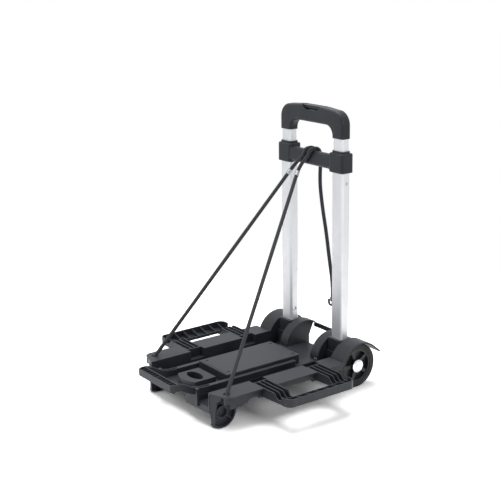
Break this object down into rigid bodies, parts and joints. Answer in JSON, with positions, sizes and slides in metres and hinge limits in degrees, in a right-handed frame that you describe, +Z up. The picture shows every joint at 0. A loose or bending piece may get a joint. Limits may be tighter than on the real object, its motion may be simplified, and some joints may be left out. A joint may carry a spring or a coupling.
{
  "type": "folding hand truck",
  "caption": "Folding two-wheel luggage hand truck with pull-out load wings, a telescopic fold-down handle and elastic cords.",
  "frame": {"origin": "on the floor, at the middle of the footprint with all three wings out", "axes": "+X to the user's right as seen from the front, +Y towards the wheels and handle, +Z up"},
  "size_m": [0.44, 0.4484, 0.555],
  "materials": {
    "base_plastic": "fine-grained moulded polypropylene",
    "handle_plastic": "satin moulded ABS",
    "rim_plastic": "moulded nylon",
    "inner_plastic": "moulded acetal",
    "tyre": "solid rubber",
    "tube_aluminium": "satin anodised",
    "chrome_cap": "bright chrome",
    "steel": "zinc plated",
    "cord": "braided elastic cord"
  },
  "bodies": {
    "base": {"base_frame": "base_plastic", "centre_panel": "base_plastic", "panel_screws": "steel", "front_tab": "base_plastic", "left_foot": "base_plastic", "right_foot": "base_plastic", "left_stub_axle": "steel", "right_stub_axle": "steel", "left_wheel_washer": "steel", "right_wheel_washer": "steel", "left_wheel_cap": "chrome_cap", "right_wheel_cap": "chrome_cap", "left_pivot_pin": "steel", "right_pivot_pin": "steel", "left_cord": "cord", "right_cord": "cord", "cord_knots": "cord", "cord_ferrules": "steel"},
    "left_wheel": {"left_wheel_rim": "rim_plastic", "left_tyre": "tyre"},
    "right_wheel": {"right_wheel_rim": "rim_plastic", "right_tyre": "tyre"},
    "handle_frame": {"left_socket": "base_plastic", "right_socket": "base_plastic", "left_outer_tube": "tube_aluminium", "right_outer_tube": "tube_aluminium", "cross_block": "handle_plastic", "hanging_cord": "cord", "cord_clamp": "steel", "cord_hook": "inner_plastic"},
    "handle": {"left_inner_tube": "tube_aluminium", "right_inner_tube": "tube_aluminium", "left_guide_plug": "inner_plastic", "right_guide_plug": "inner_plastic", "left_lock_pins": "steel", "right_lock_pins": "steel", "grip": "handle_plastic", "release_spring": "steel"},
    "release": {"release_button": "handle_plastic", "release_bar": "inner_plastic"},
    "left_wing": {"left_wing": "base_plastic"},
    "right_wing": {"right_wing": "base_plastic"},
    "front_wing": {"front_wing": "base_plastic"}
  },
  "joints": [
    {"name": "handle_fold", "type": "hinge", "parent": "base", "child": "handle_frame", "pos_m": [0, 0.15676, 0.0845], "axis": [1, 0, 0], "range_deg": [0, 89], "deforming": ["left_cord", "right_cord"]},
    {"name": "handle_slide", "type": "slide", "parent": "handle_frame", "child": "handle", "axis": [0, 0, 1], "range_m": [0, 0.294]},
    {"name": "release_press", "type": "slide", "parent": "handle", "child": "release", "axis": [0, 0, -1], "range_m": [0, 0.004], "stiffness_N_per_m": 600, "springref_m": -0.004, "deforming": ["release_spring"]},
    {"name": "left_wing_slide", "type": "slide", "parent": "base", "child": "left_wing", "axis": [1, 0, 0], "range_m": [0, 0.043]},
    {"name": "right_wing_slide", "type": "slide", "parent": "base", "child": "right_wing", "axis": [-1, 0, 0], "range_m": [0, 0.043]},
    {"name": "front_wing_slide", "type": "slide", "parent": "base", "child": "front_wing", "axis": [0, 1, 0], "range_m": [0, 0.05]},
    {"name": "left_wheel_spin", "type": "hinge", "parent": "base", "child": "left_wheel", "pos_m": [-0.1145, 0.17276, 0.0455], "axis": [1, 0, 0], "continuous": true},
    {"name": "right_wheel_spin", "type": "hinge", "parent": "base", "child": "right_wheel", "pos_m": [0.1145, 0.17276, 0.0455], "axis": [1, 0, 0], "continuous": true}
  ]
}
